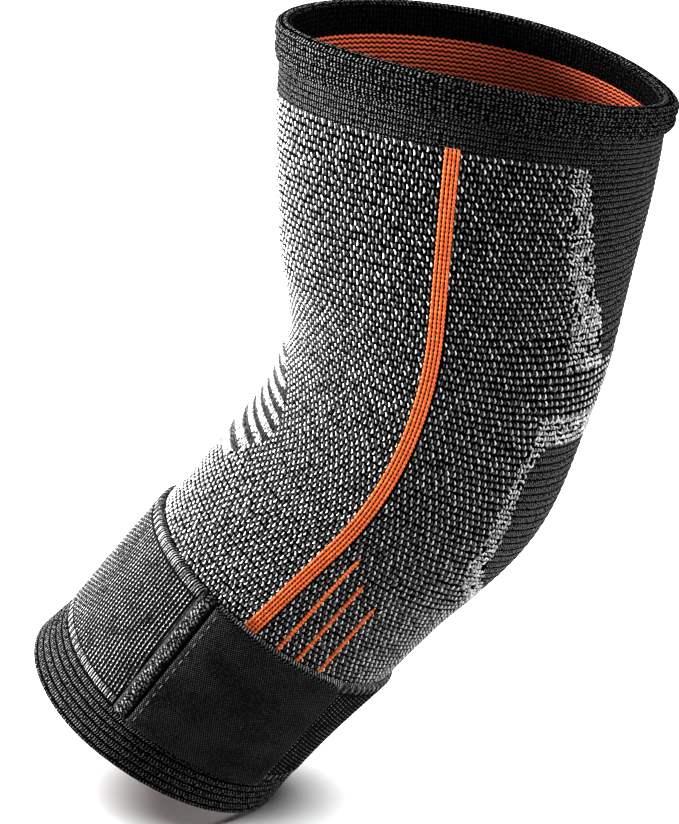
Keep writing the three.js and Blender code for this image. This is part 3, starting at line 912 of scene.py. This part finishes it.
def top_hem():
    """The doubled hem: two soft beads outside, a rounded rim, and a band inside, its yarn painted near
    black as shade.
    """
    columns, rib = 2 * WALES, HEM_RIB_PITCH
    down = steps_between(0, 1, rib / 4 / HEM_HEIGHT)
    beads = smooth(down, *HEM_BEADS.T)
    inside_low = LENGTH - HEM_INSIDE_HEIGHT
    roof = LENGTH - HEM_CROWN
    face = INSIDE - HEM_WALL
    inner = steps_between(inside_low, LENGTH - HEM_CROWN / 2, rib / 3)
    rim = np.linspace(0, 1, 7)[1:-1]
    rim_distance = LENGTH - HEM_CROWN / 2 * (1 - np.sin(rim * np.pi))
    distance = np.concatenate([
        inner, rim_distance, LENGTH - down * HEM_HEIGHT, [HEM_LOW, roof, roof, inside_low],
    ])
    degrees = column_angles(columns)
    thick = hem_thickness(degrees)[:, None]
    rim_out = face + (GAP + beads[0] * thick - face) * rim[None, :]
    phase_down = down * HEM_HEIGHT / rib
    ribs = HEM_RIB_HEIGHT * ripple(phase_down) * (down > 0.05)
    outer = GAP + beads[None, :] * thick + ribs[None, :] - HEM_RIB_HEIGHT / 2
    inner_phase = (inner - inside_low) / rib
    inner_out = face - HEM_INSIDE_RIB_HEIGHT * ripple(inner_phase)
    ones = np.ones((columns, 1))
    under = ones * np.array([[GAP, GAP, INSIDE, INSIDE]])
    out = np.concatenate([ones * inner_out[None, :], rim_out, outer, under], 1)
    # The inside band takes a darker copy of the hem's knit: painted shade inside the tube
    materials = [ribbed_material("hem_knit", RIB_YARN, 5.0, RIB_SHEEN),
                 ribbed_material("hem_inside_shaded", HEM_INSIDE_SHADED_YARN, 5.0, HEM_INSIDE_SHADED_SHEEN)]
    piece, row = swept_ring("top_hem_knit", distance[::-1], out[:, ::-1], columns, materials,
                            replaces=["top_hem"], slot="hem_knit")
    line_inside(piece, row >= len(distance) - len(inner))
    phase = np.concatenate([inner_phase, np.linspace(0, 1, len(rim)), phase_down, np.zeros(4)])
    add_values(piece, "rib_phase", np.broadcast_to(phase[None, ::-1], out.shape))


def bottom_cuff():
    """The rolled cuff with ribs along its rim."""
    columns = 2 * WALES
    rib = (CUFF_HEIGHT - CUFF_CROWN) / CUFF_RIBS
    outer_distance = steps_between(CUFF_CROWN / 3, CUFF_HEIGHT, rib / 2 / 5)
    phase_out = (outer_distance - CUFF_CROWN) / rib
    outer = GAP + CUFF_WALL + CUFF_RIB_HEIGHT * ripple(phase_out)
    inner_distance = steps_between(CUFF_INSIDE_HEIGHT, CUFF_CROWN / 2, 0.6 * MM)
    face = INSIDE - CUFF_WALL
    rim = np.linspace(0, 1, 9)[1:-1]
    rim_distance = CUFF_CROWN / 2 * (1 - np.sin(rim * np.pi))
    rim_out = face + (outer[0] - face) * ripple(rim / 2)
    distance = np.concatenate([
        outer_distance, [CUFF_HEIGHT, CUFF_CROWN, CUFF_CROWN, CUFF_INSIDE_HEIGHT],
        inner_distance, rim_distance,
    ])
    inner = np.full(len(inner_distance), face)
    out = np.concatenate([outer, [GAP, GAP, INSIDE, INSIDE], inner, rim_out])
    material = ribbed_material("cuff_knit", RIB_YARN, 6.0, RIB_SHEEN)
    piece, _ = swept_ring("bottom_cuff_knit", distance, out[None, :], columns, [material],
                          replaces=["bottom_cuff"], slot="cuff_rib")
    phase = np.concatenate([phase_out, np.zeros(4), inner_distance / rib, rim])
    add_values(piece, "rib_phase", np.broadcast_to(phase[None, :], (columns, len(distance))))


def walked_across(distance, degrees, out):
    """Metres walked along each row of a grid of places, at one height above the sleeve."""
    steps = np.linalg.norm(np.diff(surface(distance, degrees, out), axis=1), axis=-1)
    return np.concatenate([np.zeros((len(degrees), 1)), np.cumsum(steps, 1)], 1)


def sheet_piece(name, distance, degrees, low, high, material, **facts):
    """A sheet on the sleeve from grids, by row and column, of places and of its top's heights."""
    rows, across = degrees.shape
    bottom = surface(distance, degrees, low).reshape(-1, 3)
    top = surface(distance, degrees, high).reshape(-1, 3)
    count = rows * across
    row, column = pairs(np.arange(rows - 1), np.arange(across - 1))
    here, right = row * across + column, row * across + column + 1
    above, beyond = here + across, right + across
    upper = np.stack([here, right, beyond, above], -1) + count
    lower = np.stack([here, above, beyond, right], -1)
    first, last = np.arange(across - 1), (rows - 1) * across + np.arange(across - 1)
    left, end = np.arange(rows - 1) * across, np.arange(rows - 1) * across + across - 1
    sides = [
        np.stack([first, first + 1, first + 1 + count, first + count], -1),
        np.stack([last, last + count, last + 1 + count, last + 1], -1),
        np.stack([left, left + count, left + across + count, left + across], -1),
        np.stack([end, end + across, end + across + count, end + count], -1),
    ]
    faces = np.concatenate([upper, lower, *sides])
    piece = new_piece(name, np.concatenate([bottom, top]), [faces], [material], **facts)
    walked = walked_across(distance, degrees, BAND_OUT)
    over = np.broadcast_to(distance - distance.min(), walked.shape)
    place = np.stack([walked, over], -1).reshape(-1, 2)
    both = np.concatenate([place, place])
    add_map(piece, "strap", both[faces.ravel()])
    # The sheet's bottom takes one half of the chart, and its top the other
    spread = both / both.max(0)
    spread[:, 1] = spread[:, 1] * 0.48
    spread[:count, 1] += 0.5
    add_map(piece, "OFBake", spread[faces.ravel()])
    return piece


def from_strap_edge(distance):
    """How far places are from the strap's nearer long edge."""
    return np.minimum(distance - STRAP_LOW, STRAP_HIGH - distance)


def rounded(from_edge, radius):
    """How much of a sheet's thickness there is near its edge, which is round."""
    inside = np.clip(from_edge / radius, 0, 1)
    return np.sqrt(1 - (1 - inside) ** 2)


def edge_rows(low, high, longest):
    """Distances across the strap, closer together at its edges."""
    ends = np.array([0, 0.15, 0.4, 0.8]) * MM
    middle = steps_between(low + 1.4 * MM, high - 1.4 * MM, longest)
    return np.concatenate([low + ends, middle, (high - ends)[::-1]])


def strap_band():
    """The elastic band round the forearm, its cross ribs raised."""
    rows = edge_rows(STRAP_LOW, STRAP_HIGH, 2.2 * MM)[:, None]
    share = np.linspace(0, 1, STRAP_COLUMNS)[None, :]
    degrees = TAB_START + strap_skew(rows) + share * (BAND_STOP - TAB_START)
    distance = np.broadcast_to(rows, degrees.shape)
    from_edge = from_strap_edge(distance)
    walked = walked_across(distance, degrees, BAND_OUT)
    ribs = ripple(walked / STRAP_RIB_PITCH)
    full = STRAP_THICKNESS * rounded(from_edge, EDGE_RADIUS["band"]) * 0.98
    high = BAND_IN + np.maximum(full - STRAP_RIB_HEIGHT * (1 - ribs), THINNEST_EDGE)
    piece = sheet_piece("strap_band_elastic", distance, degrees, BAND_IN, high, elastic_material(),
                        replaces=["strap_band"], slot="strap_elastic")
    add_values(piece, "from_edge", np.concatenate([from_edge.ravel()] * 2))


# Top of the strap's folded end, as in the solids: share across it, share of its rise
FOLD_CROWN = np.array([(0.00, 0.40), (0.20, 0.85), (0.50, 1.00), (0.80, 0.90), (1.00, 0.60)])


def strap_fold():
    """The strap's folded, sewn end: a raised ridge of the same elastic."""
    rows = edge_rows(STRAP_LOW, STRAP_HIGH, 1.1 * MM)[:, None]
    across = np.linspace(0, 1, 25)[None, :]
    degrees = FOLD_START + across * (FOLD_STOP - FOLD_START) + strap_skew(rows)
    distance = np.broadcast_to(rows, degrees.shape)
    from_edge = from_strap_edge(distance)
    rise = smooth(across[0], *FOLD_CROWN.T)
    side = rounded(np.minimum(across, 1 - across) * FOLD_WIDTH, EDGE_RADIUS["fold_side"])
    top = (STRAP_THICKNESS + rise[None, :] * FOLD_RISE) * (0.35 + 0.65 * side)
    high = BAND_IN + np.maximum(top * rounded(from_edge, EDGE_RADIUS["fold"]), THINNEST_EDGE)
    sheet_piece("strap_fold_elastic", distance, degrees, BAND_IN, high, fold_material(),
                replaces=["strap_fold"], slot="strap_fold_elastic")


def strap_tab():
    """The smooth tab with rounded corners that closes the strap."""
    corner = np.array([0, 0.03, 0.12, 0.25, 0.45, 0.7, 1]) * TAB_CORNER
    middle = steps_between(STRAP_LOW + 1.3 * TAB_CORNER, STRAP_HIGH - 1.3 * TAB_CORNER, 0.9 * MM)
    rows = np.concatenate([STRAP_LOW + corner, middle, (STRAP_HIGH - corner)[::-1]])[:, None]
    inset = np.minimum(from_strap_edge(rows), TAB_CORNER)
    cut = TAB_CORNER - np.sqrt(TAB_CORNER**2 - (TAB_CORNER - inset) ** 2)
    degrees_per_metre = (TAB_STOP - TAB_START) / TAB_LENGTH
    ends = np.array([0, 0.004, 0.012, 0.03])
    share = np.concatenate([ends, np.linspace(0.05, 0.95, 50), 1 - ends[::-1]])[None, :]
    degrees = TAB_START + share * (TAB_STOP - cut * degrees_per_metre - TAB_START) + strap_skew(rows)
    distance = np.broadcast_to(rows, degrees.shape)
    from_ends = np.minimum((1 - share) * (TAB_LENGTH - cut), share * TAB_LENGTH)
    from_edge = np.minimum(from_strap_edge(distance), from_ends)
    over = (distance - STRAP_LOW) / STRAP_WIDTH
    puff = TAB_PUFF * np.sin(np.pi * share) * np.sin(np.pi * over)
    full = TAB_THICKNESS * rounded(from_edge, EDGE_RADIUS["tab"])
    high = TAB_IN + np.maximum(full, THINNEST_TAB_EDGE) + puff
    piece = sheet_piece("strap_tab_cloth", distance, degrees, TAB_IN, high, tab_material(),
                        replaces=["strap_tab"], slot="tab_cloth")


def tab_stitching():
    """A dashed seam of pale thread down the tab, beside the fold."""
    middle = (STRAP_LOW + STRAP_HIGH) / 2
    per_degree, _ = local_scale(np.array([middle]), np.array([TAB_START]))
    start = TAB_START + SEAM["from_tab_start"] / per_degree[0]
    turn = turns_of(SEAM["sides"])
    across = SEAM["radius"] * np.cos(turn)[None, :] / per_degree[0]
    share = np.linspace(0, 1, SEAM["rows"])
    up = TAB_OUT + SEAM["rise"] * np.sin(np.pi * share) ** 0.5 - SEAM["sink"]
    out = up[:, None] + SEAM["radius"] * np.sin(turn)[None, :]
    tubes = []
    low = STRAP_LOW + SEAM["from_low_edge"]
    while low + SEAM["length"] < STRAP_HIGH - SEAM["from_high_edge"]:
        distance = low + share * SEAM["length"]
        degrees = start + strap_skew(distance)[:, None] + across
        tubes.append(surface(distance[:, None], degrees, out))
        low += SEAM["pitch"]
    thread = stitch_material("pale_thread", SEAM_THREAD)
    yarn_tubes("tab_stitching", tubes, thread, "tab_cloth")


# The camera, from the photograph's perspective
CAMERA_AZIMUTH = 14
CAMERA_ELEVATION = 22
CAMERA_DISTANCE = 0.9
CAMERA_TARGET = Vector((-0.027, 0, -0.005))
CAMERA_PIXELS_PER_RADIAN = 2990
PICTURE_HEIGHT = 824
SENSOR = 36


def camera():
    """The camera, looking at its target from a distance."""
    data = bpy.data.cameras.new("camera")
    data.sensor_width = SENSOR
    data.lens = CAMERA_PIXELS_PER_RADIAN * SENSOR / PICTURE_HEIGHT
    made = placed("camera", data)
    azimuth, elevation = math.radians(CAMERA_AZIMUTH), math.radians(CAMERA_ELEVATION)
    back = Vector((
        math.sin(azimuth) * math.cos(elevation),
        -math.cos(azimuth) * math.cos(elevation),
        math.sin(elevation),
    ))
    made.location = CAMERA_TARGET + back * CAMERA_DISTANCE
    made.rotation_euler = (-back).to_track_quat("-Z", "Y").to_euler()
    bpy.context.scene.camera = made


# The studio. The world lights the sleeve weakly and is seen as white.
LIGHTS = (
    {"name": "key", "place": (-0.95, -0.05, 0.3), "size": 0.4, "power": 72},
    {"name": "right", "place": (0.85, -0.2, 0.15), "size": 0.4, "power": 6.5},
    {"name": "front", "place": (0.3, -0.9, 0.35), "size": 0.5, "power": 3.2},
)
WORLD_LIGHT = 0.08
WORLD_SEEN = 1
VIEW = {"exposure": 0.4, "gamma": 0.8}
FLOOR_SUN = {"strength": 8.5, "angle": 80}
FLOOR_REACH = 60
FLOOR_ROUGHNESS = 0.9
FLOOR_SHADES = ((0.93, 0.93, 0.93, 1), (0.96, 0.96, 0.96, 1))


def studio_light(name, kind):
    """A light's settings and its object."""
    data = bpy.data.lights.new(name, kind)
    return data, placed(name, data)


def floor():
    """A pale floor just under the cuff's lowest point. It throws no light back on the sleeve."""
    n = Nodes("pale_floor")
    material = n.finish(n.mix(n.noise(n.place(), 40, 2), *FLOOR_SHADES), FLOOR_ROUGHNESS)
    mesh = bpy.data.meshes.new("floor")
    low = cad_box[0].z - 0.5 * MM
    corners = [(x * FLOOR_REACH, y * FLOOR_REACH, low) for x, y in ((-1, -1), (1, -1), (1, 1), (-1, 1))]
    mesh.from_pydata(corners, [], [(0, 1, 2, 3)])
    mesh.materials.append(material)
    made = placed("floor", mesh)
    made.visible_diffuse = False
    return made


def studio_world():
    """A white room: seen as white, and weak as a light on the sleeve."""
    world = bpy.data.worlds.new("studio")
    world.use_nodes = True
    tree = world.node_tree
    seen = tree.nodes.new("ShaderNodeLightPath").outputs["Is Camera Ray"]
    strength = tree.nodes.new("ShaderNodeMapRange")
    strength.inputs["To Min"].default_value = WORLD_LIGHT
    strength.inputs["To Max"].default_value = WORLD_SEEN
    tree.links.new(seen, strength.inputs["Value"])
    background = tree.nodes["Background"].inputs
    background["Color"].default_value = (1, 1, 1, 1)
    tree.links.new(strength.outputs[0], background["Strength"])
    return world


def lights(pale_floor):
    """Strong light from the left, less from the right, and an even light on the floor alone."""
    floor_only = bpy.data.collections.new("floor_only")
    floor_only.objects.link(pale_floor)
    others = bpy.data.collections.new("all_but_floor")
    others.objects.link(pale_floor)
    others.collection_objects[0].light_linking.link_state = "EXCLUDE"
    for light in LIGHTS:
        data, made = studio_light(light["name"], "AREA")
        data.shape, data.size, data.energy = "DISK", light["size"], light["power"]
        made.location = light["place"]
        made.rotation_euler = (-Vector(light["place"])).to_track_quat("-Z", "Y").to_euler()
        made.light_linking.receiver_collection = others
    data, sun = studio_light("floor_sun", "SUN")
    data.energy, data.angle = FLOOR_SUN["strength"], math.radians(FLOOR_SUN["angle"])
    sun.light_linking.receiver_collection = floor_only
    bpy.context.scene.world = studio_world()
    view = bpy.context.scene.view_settings
    view.view_transform = "Standard"
    view.exposure, view.gamma = VIEW["exposure"], VIEW["gamma"]


camera()
lights(floor())
sleeve()
raised_stitches()
orange_cords()
top_hem()
bottom_cuff()
strap_band()
strap_fold()
strap_tab()
tab_stitching()
